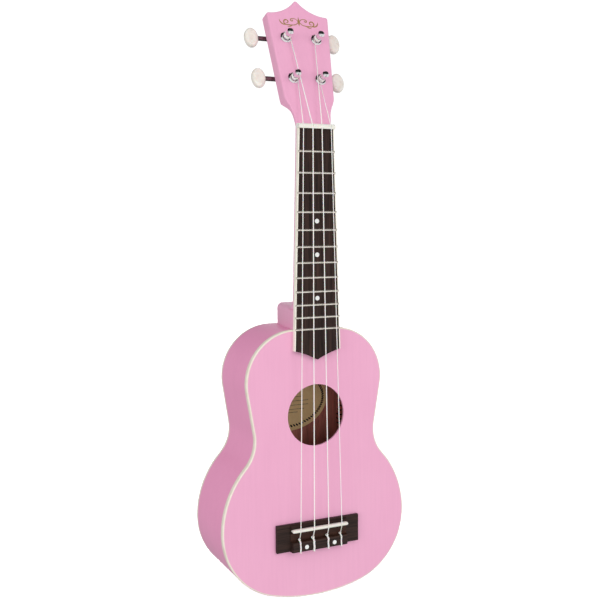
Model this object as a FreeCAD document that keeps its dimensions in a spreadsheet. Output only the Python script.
import FreeCAD, Part
import math
import os
from FreeCAD import Placement, Rotation, Vector

# Soprano ukulele, standing upright.
# Frame: origin at the nut end of the neck's flat face, +Z up the neck to the headstock,
# -Y towards the player's strings (front), +X to the viewer's right.

CELLS = [
    ("scale_length", 346.0), ("fret_count", 12),
    # body outline: flat at the neck, then tangent arcs down to the tail
    ("body_top", 173.0), ("body_tail", 414.0), ("flat_half", 20.0),
    ("upper_radius", 46.0), ("upper_down", 219.0),
    ("waist_radius", 34.0), ("waist_down", 267.9),
    ("lower_radius", 83.0), ("lower_across", 6.5), ("lower_down", 347.0),
    ("corner_radius", 63.5),
    # body depth: the back plane leans away from the front towards the tail
    ("back_depth", 61.1), ("back_slope", 0.04867), ("far_depth", 90.0),
    ("top_thickness", 2.0), ("back_thickness", 2.0),
    ("binding_width", 1.4), ("binding_depth", 4.0), ("binding_round", 1.2),
    ("lining_width", 4.5), ("lining_height", 7.0),
    ("hole_radius", 27.5), ("hole_down", 250.0),
    ("block_half", 30.0), ("block_length", 28.0), ("tail_half", 24.0), ("tail_length", 16.0),
    ("brace_width", 6.0), ("brace_height", 6.5), ("brace_above", 211.0), ("brace_below", 289.0),
    ("back_brace_low", 330.0), ("back_brace_high", 209.5),
    ("plate_half", 36.0), ("plate_span", 32.0), ("plate_thickness", 2.2),
    ("label_across", 42.0), ("label_up", 31.0), ("label_down", 247.0), ("label_thickness", 0.25),
    # fingerboard and nut
    ("board_thickness", 4.2), ("board_half_nut", 16.9), ("board_half_end", 22.3),
    ("board_end", 191.7), ("board_tip", 200.0), ("board_binding", 1.0), ("board_scallop", 0.9),
    ("fret_width", 1.9), ("fret_height", 0.9), ("tang_width", 0.5), ("tang_depth", 1.5),
    ("dot_radius", 2.0), ("dot_depth", 1.0),
    ("nut_half", 17.3), ("nut_thickness", 4.2), ("nut_height", 6.6), ("nut_slot", 0.62),
    ("nut_break", 1.5), ("nut_relief", 1.35),
    # neck and heel
    ("neck_depth", 14.0), ("neck_depth_low", 15.5), ("heel_depth", 60.6), ("heel_top", 153.4),
    ("heel_half", 11.0), ("heel_corner", 7.0), ("heel_round", 5.0),
    ("dowel_radius", 3.0), ("dowel_length", 30.0),
    # headstock
    ("head_tilt", 17.6), ("head_start", 2.0), ("head_thickness", 12.0), ("head_tip", 121.3),
    ("head_round", 1.6), ("crown_round", 2.0),
    ("head_slab_start", 25.0), ("head_slab_half", 23.42),
    # bridge
    ("bridge_half", 40.3), ("bridge_front", 344.7), ("bridge_rear", 369.3), ("wing_height", 3.0),
    ("tie_height", 8.0), ("ridge_height", 6.0), ("ridge_half", 28.0), ("tie_half", 26.4),
    ("channel_height", 3.8), ("tie_front", 360.0), ("tie_hole_height", 5.3), ("tie_hole_radius", 0.7),
    ("saddle_down", 350.0), ("saddle_thickness", 2.8), ("saddle_height", 9.3), ("saddle_half", 27.3),
    ("saddle_seat", 1.8), ("bridge_dot_across", 13.7), ("bridge_dot_down", 365.3),
    ("bridge_dot_radius", 1.9),
    # strings: distances from the centre line at the nut and at the saddle
    ("nut_outer", 13.25), ("nut_inner", 4.35), ("saddle_outer", 20.1), ("saddle_inner", 7.0),
    # tuners: posts, gears, worms
    ("across_low", 13.1), ("across_high", 14.8), ("post_low", 44.9), ("post_high", 83.3),
    ("post_radius", 3.0),
    ("post_waist", 2.35), ("post_top", 12.6), ("running_gap", 0.05),
    ("bushing_radius", 5.1), ("sleeve_radius", 4.0), ("sleeve_length", 6.0), ("bushing_height", 1.5),
    ("mount_thickness", 1.0), ("mount_half", 6.0), ("mount_below", 10.0), ("mount_above", 13.0),
    ("ear_height", 6.6), ("worm_offset", 6.3), ("worm_depth", 16.8),
    ("gear_teeth", 14), ("gear_radius", 4.5), ("gear_root", 3.4), ("gear_thickness", 3.2),
    ("worm_pitch", 1.8), ("worm_radius", 2.6), ("shaft_radius", 1.6), ("stem_radius", 2.1),
    ("spigot_radius", 1.2),
    ("button_centre", 25.5), ("button_half_width", 6.4), ("button_half_length", 9.0),
    ("button_thickness", 6.6),
    ("screw_head_radius", 1.9), ("screw_radius", 0.9), ("screw_length", 7.0),
    ("winding_start", 2.05), ("winding_turns", 4),
]

STRINGS = [
    # name, side (-1 left, +1 right), outer or inner, radius
    ("string_g", -1, "outer", 0.36),
    ("string_c", -1, "inner", 0.46),
    ("string_e", 1, "inner", 0.42),
    ("string_a", 1, "outer", 0.34),
]

TUNERS = [
    # name, side, which post row it stands in
    ("g", -1, "low"),
    ("c", -1, "high"),
    ("e", 1, "high"),
    ("a", 1, "low"),
]

document = FreeCAD.newDocument("ukulele")
sheet = document.addObject("Spreadsheet::Sheet", "Dims")
exported = []


def fill_sheet():
    """One row for each driving dimension: its name in column A, its value in column B."""
    for row, (alias, value) in enumerate(CELLS, start=1):
        sheet.set("A%d" % row, alias)
        sheet.set("B%d" % row, str(value))
        sheet.setAlias("B%d" % row, alias)
    document.recompute()


def dim(alias):
    return float(sheet.get(alias))


def give(item, prop, value):
    """Bind a property to an expression, or set it when the value is a plain number."""
    if isinstance(value, str):
        item.setExpression(prop, value)
    else:
        setattr(item, prop, value)


def keep(item, label):
    """Mark an object as a sub-part that is exported under this label."""
    item.Label = label
    exported.append(item)
    return item


# ---------------------------------------------------------------- geometry helpers


def line(start, end):
    return Part.LineSegment(Vector(start[0], start[1], 0), Vector(end[0], end[1], 0))


def arc(start, middle, end):
    points = [Vector(point[0], point[1], 0) for point in (start, middle, end)]
    return Part.Arc(*points)


def circle(across, up, radius):
    return Part.Circle(Vector(across, up, 0), Vector(0, 0, 1), radius)


def polygon(points):
    """Closed chain of straight segments."""
    return [line(points[i - 1], points[i]) for i in range(len(points))]


def rectangle(left, bottom, right, top):
    return polygon([(left, bottom), (right, bottom), (right, top), (left, top)])


def chain(segments):
    """Part geometry for a list of segments, each of two points (line) or three (arc)."""
    return [line(*segment) if len(segment) == 2 else arc(*segment) for segment in segments]


def mirrored(segments):
    """The same chain on the other side of x = 0, run in the other direction."""
    return [tuple((-point[0], point[1]) for point in reversed(segment)) for segment in reversed(segments)]


def reversed_chain(segments):
    return [tuple(reversed(segment)) for segment in reversed(segments)]


def arc_segment(centre, radius, start, end):
    """Three points of an arc given by its centre, radius and two angles in radians."""
    angles = (start, (start + end) / 2, end)
    return tuple((centre[0] + radius * math.cos(a), centre[1] + radius * math.sin(a)) for a in angles)


def body_half(inset):
    """Right half of the body outline in (x, z), from the neck end down to the tail."""
    upper = (dim("flat_half"), -dim("upper_down"))
    lower = (dim("lower_across"), -dim("lower_down"))
    corner = (lower[0] + dim("lower_radius") - dim("corner_radius"), lower[1])
    reach = dim("waist_radius") + dim("lower_radius")
    waist_rise = dim("lower_down") - dim("waist_down")
    waist = (lower[0] + math.sqrt(reach ** 2 - waist_rise ** 2), -dim("waist_down"))
    # bottom arc: tangent to the corner arc and square to the centre line at the tail
    drop = dim("body_tail") - dim("lower_down")
    corner_r = dim("corner_radius")
    bottom_r = (corner[0] ** 2 + drop ** 2 - corner_r ** 2) / (2 * (drop - corner_r))
    bottom = (0.0, bottom_r - dim("body_tail"))
    # straight stretch between the upper arc and the hollow waist arc
    across, down = waist[0] - upper[0], waist[1] - upper[1]
    apart = math.hypot(across, down)
    normal = math.atan2(down, across) + math.acos((dim("upper_radius") + dim("waist_radius")) / apart)
    join = math.atan2(waist_rise, waist[0] - lower[0])
    turn = math.atan2(corner[1] - bottom[1], corner[0])
    upper_arc = arc_segment(upper, dim("upper_radius") - inset, math.pi / 2, normal)
    waist_arc = arc_segment(waist, dim("waist_radius") + inset, math.pi + normal, math.pi + join)
    lower_arc = arc_segment(lower, dim("lower_radius") - inset, join, 0)
    corner_arc = arc_segment(corner, corner_r - inset, 0, turn)
    bottom_arc = arc_segment(bottom, bottom_r - inset, turn, -math.pi / 2)
    flat = ((0.0, upper_arc[0][1]), upper_arc[0])
    return [flat, upper_arc, (upper_arc[2], waist_arc[0]), waist_arc, lower_arc, corner_arc, bottom_arc]


def body_loop(inset):
    half = body_half(inset)
    return chain(half + mirrored(half))


def half_band(outer_inset, inner_inset):
    """Closed loop between two insets of the right half, cut off at x = 0."""
    outer = body_half(outer_inset)
    inner = body_half(inner_inset)
    tail = (outer[-1][-1], inner[-1][-1])
    neck = (inner[0][0], outer[0][0])
    return outer + [tail] + reversed_chain(inner) + [neck]


def half_width(inset, height):
    """Half-width of the inset outline at one height."""
    wire = Part.Wire([piece.toShape() for piece in chain(body_half(inset))])
    level = Part.makeLine(Vector(0.01, height, 0), Vector(200, height, 0))
    return max(vertex.Point.x for vertex in wire.section(level).Vertexes)


def back_y(down):
    """Depth of the outer back plane at a distance below the nut."""
    return dim("back_depth") + dim("back_slope") * (down - dim("body_top"))


def back_normal():
    slope = dim("back_slope")
    return Vector(0, 1, slope).normalize()


def board_half(down):
    """Half-width of the bound fingerboard at a distance below the nut."""
    grow = (dim("board_half_end") - dim("board_half_nut")) / dim("board_end")
    return dim("board_half_nut") + grow * down


def fret_down(number):
    return dim("scale_length") * (1 - 2 ** (-number / 12))


def head_frame():
    """Headstock frame: x right, y up along the sloping face, z out of the face."""
    tilt = Rotation(Vector(1, 0, 0), 90 - dim("head_tilt"))
    return Placement(Vector(0, 0, dim("head_start")), tilt)


def tuner_frame(side, row):
    """Frame of one tuner: the headstock frame moved to the post's axis."""
    post = Vector(side * dim("across_" + row), dim("post_" + row), 0)
    return head_frame().multiply(Placement(post, Rotation()))


def worm_frame(side, row):
    """Tuner frame moved to the middle of its worm's axis."""
    middle = Vector(0, dim("worm_offset"), -dim("worm_depth"))
    return tuner_frame(side, row).multiply(Placement(middle, Rotation()))


# ---------------------------------------------------------------- feature helpers


def new_body(label):
    body = document.addObject("PartDesign::Body", label)
    return keep(body, label)


def plane(body, role):
    return [feature for feature in body.Origin.OriginFeatures if feature.Role == role][0]


def sketch_on(body, role, geometry, offset=0.0):
    """Sketch on one of the body's own origin planes; offset is measured along its normal."""
    sketch = body.newObject("Sketcher::SketchObject", "sketch")
    sketch.AttachmentSupport = [(plane(body, role), "")]
    sketch.MapMode = "FlatFace"
    if isinstance(offset, str):
        give(sketch, "AttachmentOffset.Base.z", offset)
    else:
        sketch.AttachmentOffset = Placement(Vector(0, 0, offset), Rotation())
    sketch.addGeometry(list(geometry), False)
    return sketch


def pad(body, sketch, length, backwards=False, symmetric=False):
    feature = body.newObject("PartDesign::Pad", "pad")
    feature.Profile = sketch
    give(feature, "Length", length)
    feature.Reversed = backwards
    if symmetric:
        feature.SideType = "Symmetric"
    body.Tip = feature
    return feature


def pocket(body, sketch, length=None, backwards=False, symmetric=False):
    """Cut a sketch out of the body; with no length the cut goes right through."""
    feature = body.newObject("PartDesign::Pocket", "pocket")
    feature.Profile = sketch
    if length is None:
        feature.Type = "ThroughAll"
    else:
        give(feature, "Length", length)
    feature.Reversed = backwards
    if symmetric:
        feature.SideType = "Symmetric"
    body.Tip = feature
    return feature


def revolve(body, sketch, angle=360.0):
    feature = body.newObject("PartDesign::Revolution", "revolution")
    feature.Profile = sketch
    feature.ReferenceAxis = (sketch, ["V_Axis"])
    feature.Angle = angle
    body.Tip = feature
    return feature


def trim_to_back(body, front_gap, rear_gap):
    """Keep only the layer between two distances in front of the sloping back plane."""
    top, bottom = 50.0, -500.0
    stretch = math.hypot(1, dim("back_slope"))
    loops = []
    if rear_gap is not None:
        near = [(back_y(-z) - rear_gap * stretch, z) for z in (bottom, top)]
        far = 2 * dim("far_depth")
        loops += polygon([near[0], (far, bottom), (far, top), near[1]])
    if front_gap is not None:
        near = [(back_y(-z) - front_gap * stretch, z) for z in (bottom, top)]
        loops += polygon([near[0], (-far_front(), bottom), (-far_front(), top), near[1]])
    return pocket(body, sketch_on(body, "YZ_Plane", loops), symmetric=True)


def far_front():
    return dim("far_depth") / 2


def solid_feature(label, shape, placement=None):
    """Plain shape feature, for pieces that are neither padded nor a primitive."""
    feature = document.addObject("Part::Feature", label)
    feature.Shape = shape
    if placement is not None:
        feature.Placement = placement
    return keep(feature, label)


def box(name, size, corner):
    item = document.addObject("Part::Box", name)
    for prop, value in zip(("Length", "Width", "Height"), size):
        give(item, prop, value)
    item.Placement.Base = Vector(*corner)
    return item


def cylinder(name, radius, length, base, axis=Vector(0, 0, 1)):
    item = document.addObject("Part::Cylinder", name)
    give(item, "Radius", radius)
    give(item, "Height", length)
    item.Placement = Placement(Vector(*base), Rotation(Vector(0, 0, 1), axis))
    return item


def boolean(kind, name, base, tools):
    """Part::Cut of base and the joined tools, or Part::MultiFuse of all of them."""
    if kind == "fuse":
        item = document.addObject("Part::MultiFuse", name)
        item.Shapes = [base] + tools
        return item
    cutter = tools[0]
    if len(tools) > 1:
        cutter = document.addObject("Part::MultiFuse", name + "_tools")
        cutter.Shapes = tools
    item = document.addObject("Part::Cut", name)
    item.Base = base
    item.Tool = cutter
    return item


def group(label, items):
    item = document.addObject("Part::Compound", label)
    item.Links = items
    return keep(item, label)


# ---------------------------------------------------------------- sound box


def make_soundboard():
    body = new_body("soundboard")
    hole = circle(0, -dim("hole_down"), dim("hole_radius"))
    sketch = sketch_on(body, "XZ_Plane", body_loop(dim("binding_width")) + [hole])
    pad(body, sketch, "Dims.top_thickness", backwards=True)


def round_outer_rim(body, is_outer_face):
    """Round the binding's outer edge on the plate side; is_outer_face picks that side's edges."""
    document.recompute()
    base = body.Tip
    middle = Part.Face(Part.Wire([edge.toShape() for edge in body_loop(dim("binding_width") / 2)]))
    names = []
    for number, edge in enumerate(base.Shape.Edges, 1):
        point = edge.valueAt((edge.FirstParameter + edge.LastParameter) / 2)
        level = edge.Vertexes[0].Point
        outside = not middle.isInside(Vector(point.x, point.z, 0), 0.01, True)
        if outside and is_outer_face(point) and is_outer_face(level):
            names.append("Edge%d" % number)
    fillet = body.newObject("PartDesign::Fillet", "round")
    fillet.Base = (base, names)
    give(fillet, "Radius", "Dims.binding_round")
    body.Tip = fillet


def make_top_binding():
    body = new_body("top_binding")
    sketch = sketch_on(body, "XZ_Plane", body_loop(0) + body_loop(dim("binding_width")))
    pad(body, sketch, "Dims.binding_depth", backwards=True)
    round_outer_rim(body, lambda point: abs(point.y) < 0.01)


def make_side(label, side):
    body = new_body(label)
    band = half_band(0, dim("binding_width"))
    if side < 0:
        band = mirrored(band)
    sketch = sketch_on(body, "XZ_Plane", chain(band), "-Dims.binding_depth")
    pad(body, sketch, "Dims.far_depth", backwards=True)
    trim_to_back(body, None, dim("binding_depth"))
    above = -dim("body_top") + 1
    pocket(body, sketch_on(body, "XY_Plane", dowel_circles(), above), "2 * Dims.binding_width + 1")


def make_back_binding():
    body = new_body("back_binding")
    sketch = sketch_on(body, "XZ_Plane", body_loop(0) + body_loop(dim("binding_width")))
    pad(body, sketch, "Dims.far_depth", backwards=True)
    trim_to_back(body, dim("binding_depth"), 0)
    round_outer_rim(body, lambda point: abs(point.y - back_y(-point.z)) < 0.01)


def make_back_plate():
    body = new_body("back_plate")
    sketch = sketch_on(body, "XZ_Plane", body_loop(dim("binding_width")))
    pad(body, sketch, "Dims.far_depth", backwards=True)
    trim_to_back(body, dim("back_thickness"), 0)


def lining_loops():
    outer = dim("binding_width")
    return body_loop(outer) + body_loop(outer + dim("lining_width"))


def clear_blocks(body):
    """Stop the linings at the neck block and the tail block."""
    neck = dim("block_half"), dim("body_top") + dim("binding_width") + dim("block_length")
    tail = dim("tail_half"), dim("body_tail") - dim("binding_width") - dim("tail_length")
    loops = rectangle(-neck[0], -neck[1], neck[0], -dim("body_top") + 1)
    loops += rectangle(-tail[0], -dim("body_tail") - 1, tail[0], -tail[1])
    pocket(body, sketch_on(body, "XZ_Plane", loops), symmetric=True)


def make_linings():
    top = new_body("top_linings")
    pad(top, sketch_on(top, "XZ_Plane", lining_loops(), "-Dims.top_thickness"), "Dims.lining_height", True)
    clear_blocks(top)
    back = new_body("back_linings")
    pad(back, sketch_on(back, "XZ_Plane", lining_loops()), "Dims.far_depth", True)
    gap = dim("back_thickness")
    trim_to_back(back, gap + dim("lining_height"), gap)
    clear_blocks(back)


def make_neck_block():
    body = new_body("neck_block")
    inset = dim("binding_width")
    half = dim("block_half")
    flat, radius = dim("flat_half"), dim("upper_radius") - inset
    centre_z = -dim("upper_down")
    start = math.pi / 2
    end = math.acos((half - flat) / radius)
    shoulder = arc_segment((flat, centre_z), radius, start, end)
    bottom = -dim("body_top") - inset - dim("block_length")
    crown = ((0, shoulder[0][1]), shoulder[0])
    right = [crown, shoulder, (shoulder[2], (half, bottom)), ((half, bottom), (0, bottom))]
    sketch = sketch_on(body, "XZ_Plane", chain(right + mirrored(right)), "-Dims.top_thickness")
    pad(body, sketch, "Dims.far_depth", backwards=True)
    trim_to_back(body, None, dim("back_thickness"))
    pocket(body, sketch_on(body, "XY_Plane", dowel_circles(), bottom), backwards=True)


def make_tail_block():
    body = new_body("tail_block")
    inset = dim("binding_width")
    half = dim("tail_half")
    lower = body_half(inset)[-1]
    wall = arc(*lower).toShape().Curve
    radius, centre_z = wall.Radius, wall.Center.y
    end = -math.pi / 2 + math.asin(half / radius)
    floor = arc_segment((0, centre_z), radius, -math.pi - end, end)
    top = -dim("body_tail") + inset + dim("tail_length")
    loop = [floor, (floor[2], (half, top)), ((half, top), (-half, top)), ((-half, top), floor[0])]
    sketch = sketch_on(body, "XZ_Plane", chain(loop), "-Dims.top_thickness")
    pad(body, sketch, "Dims.far_depth", backwards=True)
    trim_to_back(body, None, dim("back_thickness"))


def inner_half(down):
    """Clear half-width between the linings over the width of a brace."""
    inset = dim("binding_width") + dim("lining_width")
    reach = dim("brace_width") / 2
    return min(half_width(inset, -down - reach), half_width(inset, -down + reach))


def make_soundboard_braces():
    braces = []
    for down in (dim("brace_above"), dim("brace_below")):
        half = inner_half(down) - 0.2
        corner = (-half, dim("top_thickness"), -down - dim("brace_width") / 2)
        braces.append(box("top_brace", (2 * half, "Dims.brace_height", "Dims.brace_width"), corner))
    group("soundboard_braces", braces)


def make_back_braces():
    lean = Rotation(Vector(0, 1, 0), back_normal())
    braces = []
    for down in (dim("back_brace_high"), dim("back_brace_low")):
        half = inner_half(down) - 0.5
        brace = box("back_brace", (2 * half, "Dims.brace_height", "Dims.brace_width"), (0, 0, 0))
        face = Vector(0, back_y(down), -down) - back_normal() * dim("back_thickness")
        local = Vector(-half, -dim("brace_height"), -dim("brace_width") / 2)
        brace.Placement = Placement(face + lean.multVec(local), lean)
        braces.append(brace)
    group("back_braces", braces)


def make_bridge_plate():
    middle = (dim("bridge_front") + dim("bridge_rear")) / 2
    corner = (-dim("plate_half"), dim("top_thickness"), -middle - dim("plate_span") / 2)
    item = box("bridge_plate", ("2 * Dims.plate_half", "Dims.plate_thickness", "Dims.plate_span"), corner)
    keep(item, "bridge_plate")


def make_label():
    body = new_body("label")
    ellipse = Part.Ellipse(Vector(0, 0, 0), dim("label_across"), dim("label_up"))
    pad(body, sketch_on(body, "XZ_Plane", [ellipse]), "Dims.label_thickness")
    face = Vector(0, back_y(dim("label_down")), -dim("label_down")) - back_normal() * dim("back_thickness")
    body.Placement = Placement(face, Rotation(Vector(0, 1, 0), back_normal()))


# ---------------------------------------------------------------- neck


def neck_section(half, flank, depth, soft, placement):
    """U-shaped wire: flat front with softened corners, straight flanks and a round back."""
    def point(across, deep):
        return Vector(across, deep, 0)

    def corner(side):
        inner = point(side * (half - 0.293 * soft), 0.293 * soft)
        return Part.Arc(point(side * half, soft), inner, point(side * (half - soft), 0))

    edges = [
        Part.LineSegment(point(half - soft, 0), point(soft - half, 0)),
        corner(-1),
        Part.LineSegment(point(-half, soft), point(-half, flank)),
        Part.Arc(point(-half, flank), point(0, depth), point(half, flank)),
        Part.LineSegment(point(half, flank), point(half, soft)),
        corner(1),
    ]
    wire = Part.Wire(Part.sortEdges([edge.toShape() for edge in edges])[0])
    wire.Placement = placement
    return wire


def neck_shaft():
    """Ruled loft from the throat in the heel up the neck, swelling into the headstock."""
    depth, low_depth = dim("neck_depth"), dim("neck_depth_low")
    stations = [
        # distance below the nut, straight flank, depth
        (155.0, 2.0, 27.0),
        (153.0, 2.0, 22.0),
        (151.4, 2.0, 18.8),
        (149.4, 2.0, 16.8),
        (146.4, 2.0, low_depth),
        (100.0, 1.8, low_depth - 0.6),
        (10.0, 1.8, depth),
        (-dim("head_start"), 2.2, depth - 0.8),
    ]
    wires = []
    for down, flank, deep in stations:
        half = board_half(max(down, 0)) - 0.1
        wires.append(neck_section(half, flank, deep, 0.15, Placement(Vector(0, 0, -down), Rotation())))
    turn = Rotation(Vector(1, 0, 0), -dim("head_tilt"))
    thick = dim("head_thickness")
    swelling = [
        # distance up the headstock, half-width, straight flank, depth, softened corner
        (6.0, 17.1, 2.4, thick + 1.0, 0.3),
        (11.0, 17.8, 2.8, thick + 0.9, 0.6),
        (15.0, 18.8, 3.6, thick + 0.8, 0.9),
        (19.0, 20.4, 6.2, thick + 0.6, 1.2),
        (22.5, 22.3, 9.4, thick + 0.3, 1.4),
        (dim("head_slab_start") + 0.3, dim("head_slab_half"), thick - 0.3, thick, dim("head_round")),
    ]
    for up, half, flank, deep, soft in swelling:
        base = head_frame().multVec(Vector(0, up, 0))
        wires.append(neck_section(half, flank, deep, soft, Placement(base, turn)))
    return Part.makeLoft(wires, True, True)


def headstock_loop():
    """Outline of the square part: bulge, straight taper and a scalloped crown with a point."""
    foot = (dim("head_slab_half"), dim("head_slab_start"))
    right = [
        ((0, foot[1]), foot),
        (foot, (23.85, 26.4), (24.1, 28.0)),
        ((24.1, 28.0), (30.0, 106.7)),
        ((30.0, 106.7), (14.8, 109.6), (0, dim("head_tip"))),
    ]
    return right + mirrored(right)


def headstock_slab():
    """Square part of the headstock: crown corners rounded first, then all rims but the foot's."""
    thick = dim("head_thickness")
    outline = Part.Wire([edge.toShape() for edge in chain(headstock_loop())])
    slab = Part.Face(outline).extrude(Vector(0, 0, -thick))
    crown = [edge for edge in slab.Edges if edge.BoundBox.ZLength > 1 and edge.BoundBox.YMin > 100]
    slab = slab.makeFillet(dim("crown_round"), crown)
    above_foot = dim("head_slab_start") + 0.1
    rims = [edge for edge in slab.Edges if edge.BoundBox.ZLength < 0.01 and edge.BoundBox.YMax > above_foot]
    slab = slab.makeFillet(dim("head_round"), rims)
    slab.Placement = head_frame()
    return slab


def drill(radius, length, start, placement=None):
    """Cutting cylinder along +Z from a start point, optionally moved into place."""
    tool = Part.makeCylinder(radius, length, start)
    if placement is not None:
        tool.Placement = placement.multiply(tool.Placement)
    return tool


def make_neck():
    """One piece of wood: shaft, heel and tilted headstock, drilled for the tuners."""
    thick = dim("head_thickness")
    solid = neck_shaft().fuse([headstock_slab(), heel_solid()])
    tools = []
    for name, side, row in TUNERS:
        place = tuner_frame(side, row)
        tools.append(drill(dim("sleeve_radius"), thick + 2, Vector(0, 0, -thick - 1), place))
        for along in screw_rows():
            start = Vector(0, along, -thick - 1)
            tools.append(drill(dim("screw_radius"), dim("screw_length") + 1, start, place))
    for depth in dowel_positions():
        start = Vector(0, depth, -dim("body_top") - 1)
        tools.append(drill(dim("dowel_radius"), dim("dowel_length") / 2 + 1, start))
    solid_feature("neck", solid.cut(tools).removeSplitter())


def heel_solid():
    """Heel block that tapers to the rear, its rear corners and its upper rim well rounded."""
    depth, half, rear_half = dim("heel_depth"), board_half(dim("body_top")), dim("heel_half")
    rise = dim("body_top") - dim("heel_top")
    right = [
        ((0, 0), (half, 0)),
        ((half, 0), (18.4, depth * 0.45), (rear_half, depth)),
        ((rear_half, depth), (0, depth)),
    ]
    wire = Part.Wire([edge.toShape() for edge in chain(right + mirrored(right))])
    block = Part.Face(wire).extrude(Vector(0, 0, rise))
    rear = [edge for edge in block.Edges if edge.BoundBox.ZLength > 1 and edge.BoundBox.YMin > depth - 0.1
            and abs(edge.BoundBox.XMin) > 1]
    block = block.makeFillet(dim("heel_corner"), rear)
    rim = [edge for edge in block.Edges if edge.BoundBox.ZMin > rise - 0.01 and edge.BoundBox.YMax > 0.1]
    block = block.makeFillet(dim("heel_round"), rim)
    block.translate(Vector(0, 0, -dim("body_top")))
    return block


def dowel_positions():
    """Depths of the two dowels that pin the heel to the neck block."""
    return 18.0, 42.0


def dowel_circles():
    return [circle(0, depth, dim("dowel_radius")) for depth in dowel_positions()]


def make_neck_dowels():
    start = -dim("body_top") - dim("dowel_length") / 2
    dowels = [cylinder("dowel", "Dims.dowel_radius", "Dims.dowel_length", (0, depth, start))
              for depth in dowel_positions()]
    group("neck_dowels", dowels)


# ---------------------------------------------------------------- fingerboard


def board_end_segments():
    """Right half of the pointed end: a hollow curve from the corner to the tip."""
    corner = (board_half(dim("board_end")) - dim("board_binding"), -dim("board_end"))
    tip = (0, -dim("board_tip"))
    middle = ((corner[0] + tip[0]) / 2 + 0.35, (corner[1] + tip[1]) / 2 + dim("board_scallop"))
    return (corner, middle, tip)


def make_fingerboard():
    body = new_body("fingerboard")
    end = board_end_segments()
    top = (board_half(0) - dim("board_binding"), 0)
    right = [((0, 0), top), (top, end[0]), end]
    sketch = sketch_on(body, "XZ_Plane", chain(right + mirrored(right)))
    pad(body, sketch, "Dims.board_thickness")
    slots = []
    for number in range(1, int(dim("fret_count")) + 1):
        down = fret_down(number)
        half_slot = dim("tang_width") / 2
        slots += rectangle(-30, -down - half_slot, 30, -down + half_slot)
    front = dim("board_thickness")
    pocket(body, sketch_on(body, "XZ_Plane", slots, front), "Dims.tang_depth")
    dots = [circle(0, -dot_down(pair), dim("dot_radius")) for pair in DOT_FRETS]
    pocket(body, sketch_on(body, "XZ_Plane", dots, front), "Dims.dot_depth")


DOT_FRETS = (5, 7, 10)


def dot_down(fret):
    """Middle of the space behind a fret."""
    return (fret_down(fret - 1) + fret_down(fret)) / 2


def make_position_dots():
    dots = []
    for fret in DOT_FRETS:
        base = (0, -dim("board_thickness") + dim("dot_depth"), -dot_down(fret))
        dots.append(cylinder("dot", "Dims.dot_radius", "Dims.dot_depth", base, Vector(0, -1, 0)))
    group("position_dots", dots)


def make_fingerboard_bindings():
    body = new_body("fingerboard_bindings")
    loops = []
    for side in (-1, 1):
        top, end = board_half(0), board_half(dim("board_end"))
        width = dim("board_binding")
        points = [(top - width, 0), (top, 0), (end, -dim("board_end")), (end - width, -dim("board_end"))]
        loops += polygon([(side * x, z) for x, z in points])
    pad(body, sketch_on(body, "XZ_Plane", loops), "Dims.board_thickness")


def make_frets():
    """Twelve T-shaped fret wires: a round crown over the board and a tang in its slot."""
    frets = []
    front = -dim("board_thickness")
    for number in range(1, int(dim("fret_count")) + 1):
        down = fret_down(number)
        crown_half, tang_half = dim("fret_width") / 2, dim("tang_width") / 2
        edge = Part.Arc(Vector(0, front, -crown_half), Vector(0, front - dim("fret_height"), 0),
                        Vector(0, front, crown_half)).toShape()
        flat = Part.makeLine(edge.Vertexes[1].Point, edge.Vertexes[0].Point)
        half = board_half(down) - 0.1
        crown = Part.Face(Part.Wire([edge, flat])).extrude(Vector(2 * half, 0, 0))
        crown.translate(Vector(-half, 0, -down))
        inner = half - dim("board_binding")
        corner = Vector(-inner, front, -down - tang_half)
        tang = Part.makeBox(2 * inner, dim("tang_depth"), 2 * tang_half, corner)
        frets.append(crown.fuse(tang))
    solid_feature("frets", Part.makeCompound(frets))


def make_nut():
    """Nut seated on the neck face and the foot of the headstock, with four string slots."""
    body = new_body("nut")
    thick, height, start = dim("nut_thickness"), dim("nut_height"), dim("head_start")
    lean = math.tan(math.radians(dim("head_tilt"))) * (thick - start)
    outline = [
        ((0, 0), (0, start)),
        ((0, start), (lean, thick)),
        ((lean, thick), (-height + 2.2, thick)),
        ((-height + 2.2, thick), (-height + 0.5, thick - 0.9), (-height, thick - 2.6)),
        ((-height, thick - 2.6), (-height - 0.15, 0)),
        ((-height - 0.15, 0), (0, 0)),
    ]
    pad(body, sketch_on(body, "YZ_Plane", chain(outline)), "2 * Dims.nut_half", symmetric=True)
    pocket(body, sketch_on(body, "XY_Plane", nut_slots(nut_seat())), symmetric=True)
    relief = nut_slots(nut_seat() - dim("nut_relief"))
    pocket(body, sketch_on(body, "XY_Plane", relief, "Dims.nut_break"), backwards=True)


def nut_slots(floor):
    """Slot sections under the strings, open to the front, down to a floor height."""
    slots = []
    for name, side, place, radius in STRINGS:
        centre = side * dim("nut_" + place)
        half = radius + dim("running_gap")
        slots += rectangle(centre - half, -dim("nut_height") - 2, centre + half, -floor)
    return slots


def nut_seat():
    """Height of the slot floors above the neck face."""
    return dim("nut_height") - dim("nut_slot")


# ---------------------------------------------------------------- bridge


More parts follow.
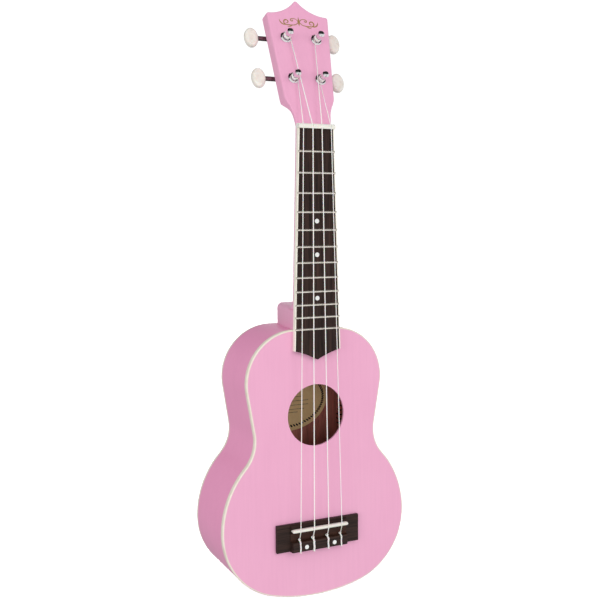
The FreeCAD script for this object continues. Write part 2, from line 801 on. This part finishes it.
def make_bridge():
    """Plate with low wings, a ridge that holds the saddle, a channel and the tie block."""
    body = new_body("bridge")
    half, front, rear = dim("bridge_half"), -dim("bridge_front"), -dim("bridge_rear")
    plate = rectangle(-half, rear + 0.3, half, front)
    pad(body, sketch_on(body, "XZ_Plane", plate), "Dims.wing_height")
    ridge, tie = dim("ridge_height"), dim("tie_height")
    wing, channel = dim("wing_height"), dim("channel_height")
    tie_front = -dim("tie_front")
    profile = [
        ((0, front), (-wing, front)),
        ((-wing, front), (-ridge, front - 3.0)),
        ((-ridge, front - 3.0), (-ridge, front - 7.6)),
        ((-ridge, front - 7.6), (-channel, front - 8.6)),
        ((-channel, front - 8.6), (-channel, tie_front)),
        ((-channel, tie_front), (-tie + 0.6, tie_front)),
        ((-tie + 0.6, tie_front), (-tie + 0.18, tie_front - 0.18), (-tie, tie_front - 0.6)),
        ((-tie, tie_front - 0.6), (-tie, rear + 1.2)),
        ((-tie, rear + 1.2), (-tie + 0.35, rear + 0.35), (-tie + 1.2, rear)),
        ((-tie + 1.2, rear), (0, rear)),
        ((0, rear), (0, front)),
    ]
    sketch = sketch_on(body, "YZ_Plane", chain(profile))
    pad(body, sketch, "2 * Dims.ridge_half", symmetric=True)
    ends = []
    for side in (-1, 1):
        inner, outer = dim("tie_half"), dim("ridge_half") + 1
        points = [(inner, -tie - 1), (outer, -tie - 1), (outer, -wing), (inner + 1.2, -wing)]
        ends += polygon([(side * across, level) for across, level in points])
    pocket(body, sketch_on(body, "XY_Plane", ends), symmetric=True)
    slot_half, seat = dim("saddle_thickness") / 2, dim("saddle_seat")
    long_half = dim("saddle_half")
    middle = -dim("saddle_down")
    slot = [
        ((-long_half + slot_half, middle - slot_half), (long_half - slot_half, middle - slot_half)),
        arc_segment((long_half - slot_half, middle), slot_half, -math.pi / 2, math.pi / 2),
        ((long_half - slot_half, middle + slot_half), (-long_half + slot_half, middle + slot_half)),
        arc_segment((-long_half + slot_half, middle), slot_half, math.pi / 2, 1.5 * math.pi),
    ]
    pocket(body, sketch_on(body, "XZ_Plane", chain(slot), tie + 2), tie + 2 - seat)
    holes = [circle(side * dim("saddle_" + place), -dim("tie_hole_height"), dim("tie_hole_radius"))
             for name, side, place, radius in STRINGS]
    pocket(body, sketch_on(body, "XY_Plane", holes, -dim("tie_front") + 2.0))
    dots = [circle(side * dim("bridge_dot_across"), -dim("bridge_dot_down"), dim("bridge_dot_radius"))
            for side in (-1, 1)]
    pocket(body, sketch_on(body, "XZ_Plane", dots, "Dims.tie_height"), "Dims.dot_depth")


def make_bridge_dots():
    dots = []
    for side in (-1, 1):
        floor = dim("dot_depth") - dim("tie_height")
        base = (side * dim("bridge_dot_across"), floor, -dim("bridge_dot_down"))
        dot = cylinder("bridge_dot", "Dims.bridge_dot_radius", "Dims.dot_depth", base, Vector(0, -1, 0))
        dots.append(dot)
    group("bridge_dots", dots)


def make_saddle():
    """Saddle bar with round ends and a rounded crown."""
    radius = "Dims.saddle_thickness / 2"
    length = "2 * (Dims.saddle_half - %s)" % radius
    height = "Dims.saddle_height - Dims.saddle_seat - %s" % radius
    half = dim("saddle_thickness") / 2
    reach = dim("saddle_half") - half
    crown = half - dim("saddle_height")
    middle = -dim("saddle_down")
    bar = box("saddle_bar", (length, height, "Dims.saddle_thickness"), (-reach, crown, middle - half))
    rounds = [cylinder("saddle_ridge", radius, length, (-reach, crown, middle), Vector(1, 0, 0))]
    for side in (-1, 1):
        foot = (side * reach, -dim("saddle_seat"), middle)
        rounds.append(cylinder("saddle_end", radius, height, foot, Vector(0, -1, 0)))
        ball = document.addObject("Part::Sphere", "saddle_ball")
        give(ball, "Radius", radius)
        ball.Placement.Base = Vector(side * reach, crown, middle)
        rounds.append(ball)
    keep(boolean("fuse", "saddle", bar, rounds), "saddle")


# ---------------------------------------------------------------- strings


def rounded_path(points, radii):
    """Wire through points, each inner corner rounded with an arc of its own radius."""
    edges = []
    start = points[0]
    for before, corner, after, radius in zip(points, points[1:], points[2:], radii):
        into = (corner - before).normalize()
        out = (after - corner).normalize()
        turn = into.getAngle(out)
        cut = radius * math.tan(turn / 2)
        entry, leave = corner - into * cut, corner + out * cut
        bisector = (out - into).normalize()
        middle = corner + bisector * (radius / math.cos(turn / 2) - radius)
        edges.append(Part.makeLine(start, entry))
        edges.append(Part.Arc(entry, middle, leave).toShape())
        start = leave
    edges.append(Part.makeLine(start, points[-1]))
    return Part.Wire(edges)


def corner_over(centre, radius, before, after):
    """Corner point whose rounding arc runs round the given centre."""
    corner = centre + Vector(0, -radius, 0)
    for step in range(8):
        into = (corner - before).normalize()
        out = (after - corner).normalize()
        outward = (into - out).normalize()
        corner = centre + outward * (radius / math.cos(into.getAngle(out) / 2))
    return corner


def tube(path, radius):
    """Round bar swept along a wire."""
    first = path.Edges[0]
    start = first.valueAt(first.FirstParameter)
    tangent = first.tangentAt(first.FirstParameter)
    profile = Part.Wire(Part.makeCircle(radius, start, tangent))
    return path.makePipeShell([profile], True, False)


def string_end(side, row, radius):
    """Where the free string meets its winding, on the inner side of the post."""
    reach = dim("post_waist") + dim("running_gap") + radius
    gap = 3.1
    return tuner_frame(side, row).multVec(Vector(-side * reach, -gap, dim("winding_start") + radius + 0.2))


def make_string(name, side, place, radius):
    """Whole string: loop over the tie block, saddle, nut and up to its winding."""
    across = side * dim("saddle_" + place)
    high = dim("nut_" + place) * side
    row = "low" if place == "outer" else "high"
    block_top = -dim("tie_height") - radius - 0.03
    hole = -dim("tie_hole_height")
    rear = -dim("bridge_rear") - radius - 0.25
    nut_y = -nut_seat() - radius - 0.01
    inside = Vector(across, hole, -dim("tie_front") + 1.2)
    over_nut = Vector(high, nut_y, 0)
    crown = dim("saddle_thickness") / 2
    crown_centre = Vector(across, crown - dim("saddle_height"), -dim("saddle_down"))
    bend = crown + radius + 0.02
    points = [
        Vector(across, block_top, -dim("tie_front") - 0.5),
        Vector(across, block_top, rear),
        Vector(across, hole, rear),
        inside,
        corner_over(crown_centre, bend, inside, over_nut),
        over_nut,
        Vector(high, nut_y, dim("nut_break")),
        string_end(side, row, radius),
    ]
    small = 0.9
    path = rounded_path(points, [small, small, small, bend, small, small])
    solid_feature(name, tube(path, radius))


def make_winding(tuner, side, row, radius):
    """Turns of string round the post's waist, as one ring with a bulge for each turn."""
    body = new_body("winding_" + tuner)
    turns = int(dim("winding_turns"))
    inner = dim("post_waist") + dim("running_gap")
    low = dim("winding_start")
    middle = inner + radius
    profile = []
    for turn in range(turns):
        start = low + 2 * radius * turn
        bulge = (middle + radius, start + radius)
        profile.append(((middle, start), bulge, (middle, start + 2 * radius)))
    high = low + 2 * radius * turns
    profile += [
        ((middle, high), (inner, high)),
        ((inner, high), (inner, low)),
        ((inner, low), (middle, low)),
    ]
    revolve(body, sketch_on(body, "XZ_Plane", chain(profile)))
    body.Placement = tuner_frame(side, row)


# ---------------------------------------------------------------- tuners


def screw_rows():
    """Screw positions of a tuner plate, measured along the headstock from the post."""
    return -7.4, 10.6


def make_tuner_bushings():
    bushings = []
    bore = "Dims.post_radius + Dims.running_gap"
    for tuner, side, row in TUNERS:
        foot = (0, 0, -dim("sleeve_length"))
        sleeve = cylinder("sleeve", "Dims.sleeve_radius", "Dims.sleeve_length", foot)
        rim = cylinder("rim", "Dims.bushing_radius", 0.6, (0, 0, 0))
        collar = document.addObject("Part::Cone", "collar")
        give(collar, "Radius1", "Dims.bushing_radius")
        give(collar, "Radius2", "Dims.bushing_radius - 0.9")
        give(collar, "Height", "Dims.bushing_height - 0.6")
        collar.Placement.Base = Vector(0, 0, 0.6)
        outer = boolean("fuse", "bushing_outer", sleeve, [rim, collar])
        hole = cylinder("bushing_bore", bore, 20.0, (0, 0, -10))
        bushing = boolean("cut", "bushing", outer, [hole])
        bushing.Placement = tuner_frame(side, row)
        bushings.append(bushing)
    group("tuner_bushings", bushings)


def make_tuner_plate(tuner, side, row):
    """Folded steel plate: base screwed to the headstock and two ears that carry the worm."""
    half, thick = dim("mount_half"), dim("mount_thickness")
    rear = -dim("head_thickness") - thick
    size = ("2 * Dims.mount_half", "Dims.mount_below + Dims.mount_above", "Dims.mount_thickness")
    base = box("plate_base", size, (-half, -dim("mount_below"), rear))
    ears = []
    ear_low = dim("worm_offset") - 3.1
    for end in (-1, 1):
        corner = (-half if end < 0 else half - thick, ear_low, rear - dim("ear_height"))
        ears.append(box("ear", ("Dims.mount_thickness", 6.2, "Dims.ear_height"), corner))
    bent = boolean("fuse", "plate_bent", base, ears)
    cut_start, cut_length = rear - 4, 10.0
    post_hole = cylinder("post_hole", "Dims.post_radius + Dims.running_gap", cut_length, (0, 0, cut_start))
    shaft_start = (-half - 2, dim("worm_offset"), -dim("worm_depth"))
    journal = "Dims.shaft_radius + Dims.running_gap"
    shaft_hole = cylinder("shaft_hole", journal, 4 * half, shaft_start, Vector(1, 0, 0))
    screws = [cylinder("screw_hole", "Dims.screw_radius", cut_length, (0, along, cut_start))
              for along in screw_rows()]
    plate = boolean("cut", "plate_" + tuner, bent, [post_hole, shaft_hole] + screws)
    plate.Placement = tuner_frame(side, row)
    keep(plate, "tuner_plate_" + tuner)


def make_tuner_screws():
    """Two small round-head screws for each tuner plate."""
    screws = []
    rear = -dim("head_thickness") - dim("mount_thickness")
    for tuner, side, row in TUNERS:
        for along in screw_rows():
            head = cylinder("screw_head", "Dims.screw_head_radius", 0.7, (0, along, rear - 0.7))
            cap = document.addObject("Part::Cone", "screw_cap")
            cap.Radius1 = 1.1
            give(cap, "Radius2", "Dims.screw_head_radius")
            cap.Height = 0.4
            cap.Placement.Base = Vector(0, along, rear - 1.1)
            shank_length = "Dims.screw_length + Dims.mount_thickness"
            shank = cylinder("screw_shank", "Dims.screw_radius", shank_length, (0, along, rear))
            whole = boolean("fuse", "screw_whole", head, [cap, shank])
            slot = box("screw_slot", (4.0, 0.5, 0.6), (-2, along - 0.25, rear - 1.2))
            screw = boolean("cut", "screw", whole, [slot])
            screw.Placement = tuner_frame(side, row)
            screws.append(screw)
    group("tuner_screws", screws)


def make_post(tuner, side, row):
    body = new_body("post_" + tuner)
    radius, waist, top = dim("post_radius"), dim("post_waist"), dim("post_top")
    gear_front = -dim("worm_depth") + dim("gear_thickness") / 2
    gear_back = gear_front - dim("gear_thickness")
    profile = [
        (0.9, gear_back), (1.8, gear_back), (1.8, gear_front), (radius, gear_front), (radius, 1.6),
        (waist, 1.9), (waist, 5.9), (radius, 6.5), (radius, top - 1.6), (radius - 1.0, top - 0.3),
        (radius - 1.8, top), (0, top), (0, gear_front + 1.0), (0.9, gear_front + 1.0),
    ]
    revolve(body, sketch_on(body, "XZ_Plane", polygon(profile)))
    pocket(body, sketch_on(body, "YZ_Plane", [circle(0, 5.2, 0.6)]), symmetric=True)
    body.Placement = tuner_frame(side, row)


def make_gear(tuner, side, row):
    """Worm gear with straight tooth gaps, one of them facing the worm at rest."""
    body = new_body("gear_" + tuner)
    outer, root = dim("gear_radius"), dim("gear_root")
    front = -dim("worm_depth") + dim("gear_thickness") / 2
    blank = [circle(0, 0, outer), circle(0, 0, 1.8)]
    pad(body, sketch_on(body, "XY_Plane", blank, front), "Dims.gear_thickness", backwards=True)
    gap = [(-0.66, outer + 0.1), (-0.44, root), (0.44, root), (0.66, outer + 0.1)]
    tooth_gap = pocket(body, sketch_on(body, "XY_Plane", polygon(gap), front))
    document.recompute()
    pattern = body.newObject("PartDesign::PolarPattern", "tooth_gaps")
    pattern.Originals = [tooth_gap]
    pattern.Axis = (body.Origin.OriginFeatures[2], [""])
    pattern.Angle = 360
    give(pattern, "Occurrences", "Dims.gear_teeth")
    body.Tip = pattern
    body.Placement = tuner_frame(side, row)


def make_gear_screw(tuner, side, row):
    back = -dim("worm_depth") - dim("gear_thickness") / 2
    head = cylinder("gear_screw_head", 2.6, 1.2, (0, 0, back - 1.2))
    shank = cylinder("gear_screw_shank", "Dims.screw_radius", "Dims.gear_thickness + 1.0", (0, 0, back))
    whole = boolean("fuse", "gear_screw_whole", head, [shank])
    slot = box("gear_screw_slot", (6.0, 0.7, 0.8), (-3, -0.35, back - 1.4))
    screw = boolean("cut", "gear_screw", whole, [slot])
    screw.Placement = tuner_frame(side, row)
    keep(screw, "gear_screw_" + tuner)


def worm_thread():
    """Right-hand trapezoid thread along x, its crest facing the gear at the middle."""
    pitch, crest, core = dim("worm_pitch"), dim("worm_radius"), dim("shaft_radius")
    reach = dim("mount_half") - dim("mount_thickness") - 0.35
    turns = 2 * math.ceil(reach / pitch + 1)
    length = turns * pitch
    helix = Part.Wire(Part.makeHelix(pitch, length, core).Edges)
    root = core - 0.4
    foot, flat = 0.52, 0.22
    points = [Vector(root, 0, -foot), Vector(crest, 0, -flat), Vector(crest, 0, flat), Vector(root, 0, foot)]
    profile = Part.makePolygon(points + points[:1])
    thread = helix.makePipeShell([profile], True, True)
    thread.translate(Vector(0, 0, -length / 2))
    window = Part.makeCylinder(crest + 1, 2 * reach, Vector(0, 0, -reach))
    thread = thread.common(window)
    # turn the thread's start towards -y, then lay its axis along x
    thread.rotate(Vector(0, 0, 0), Vector(0, 0, 1), -90)
    thread.rotate(Vector(0, 0, 0), Vector(0, 1, 0), 90)
    return thread


def make_worm_shaft(tuner, side, row):
    """Worm, journals, thicker stem and the spigot that the button is pressed on."""
    half = dim("mount_half")
    core, stem = dim("shaft_radius"), dim("stem_radius")
    inner = dim("button_centre") - dim("button_half_width")
    along = Vector(side, 0, 0)
    journal = Part.makeCylinder(core, half + 1.2 + half + 2.0, along * (-half - 1.2), along)
    neck = Part.makeCylinder(stem, inner - half - 1.0, along * (half + 1.0), along)
    spigot = Part.makeCylinder(dim("spigot_radius"), dim("button_half_width") + 1.0, along * inner, along)
    shaft = journal.fuse([neck, spigot, worm_thread()])
    solid_feature("worm_shaft_" + tuner, shaft, worm_frame(side, row))


def make_button(tuner, side, row):
    """Oval thumb button, rounded on all edges, bored for the shaft's spigot."""
    long_half, wide_half = dim("button_half_length"), dim("button_half_width")
    thick = dim("button_thickness")
    ellipse = Part.Ellipse(Vector(0, 0, 0), long_half, wide_half)
    blank = Part.Face(Part.Wire(ellipse.toShape())).extrude(Vector(0, 0, thick))
    blank.translate(Vector(0, 0, -thick / 2))
    blank.rotate(Vector(0, 0, 0), Vector(0, 0, 1), 90)
    rims = [edge for edge in blank.Edges if abs(edge.BoundBox.ZLength) < 0.01]
    blank = blank.makeFillet(thick * 0.42, rims)
    centre = Vector(side * dim("button_centre"), 0, 0)
    blank.translate(centre)
    inner = dim("button_centre") - wide_half
    start = Vector(side * (inner - 0.5), 0, 0)
    bore = Part.makeCylinder(dim("spigot_radius"), wide_half + 1.5, start, Vector(side, 0, 0))
    button = blank.cut(bore)
    solid_feature("button_" + tuner, button, worm_frame(side, row))


# ---------------------------------------------------------------- build and export


def make_all():
    fill_sheet()
    make_soundboard()
    make_top_binding()
    make_side("side_bass", -1)
    make_side("side_treble", 1)
    make_back_binding()
    make_back_plate()
    make_linings()
    make_neck_block()
    make_tail_block()
    make_soundboard_braces()
    make_back_braces()
    make_bridge_plate()
    make_label()
    make_neck()
    make_neck_dowels()
    make_fingerboard()
    make_fingerboard_bindings()
    make_frets()
    make_position_dots()
    make_nut()
    make_bridge()
    make_bridge_dots()
    make_saddle()
    for name, side, place, radius in STRINGS:
        make_string(name, side, place, radius)
    make_tuner_bushings()
    make_tuner_screws()
    for (tuner, side, row), (name, string_side, place, radius) in zip(TUNERS, STRINGS):
        make_tuner_plate(tuner, side, row)
        make_worm_shaft(tuner, side, row)
        make_button(tuner, side, row)
        make_post(tuner, side, row)
        make_gear(tuner, side, row)
        make_gear_screw(tuner, side, row)
        make_winding(tuner, side, row, radius)


def check_document():
    """Stop on any failed object or bad shape before a file is written."""
    document.recompute()
    for item in document.Objects:
        for state in ("Invalid", "Error"):
            if state in item.State:
                raise RuntimeError("%s is %s" % (item.Label, state))
    for item in exported:
        if item.Shape.isNull() or not item.Shape.isValid() or not item.Shape.Solids:
            raise RuntimeError("%s has no valid solid" % item.Label)


def export_parts():
    os.makedirs("parts", exist_ok=True)
    for item in exported:
        item.Shape.exportStep("parts/%s.step" % item.Label)
        print(item.Label, len(item.Shape.Solids), round(item.Shape.Volume, 2))


make_all()
check_document()
export_parts()
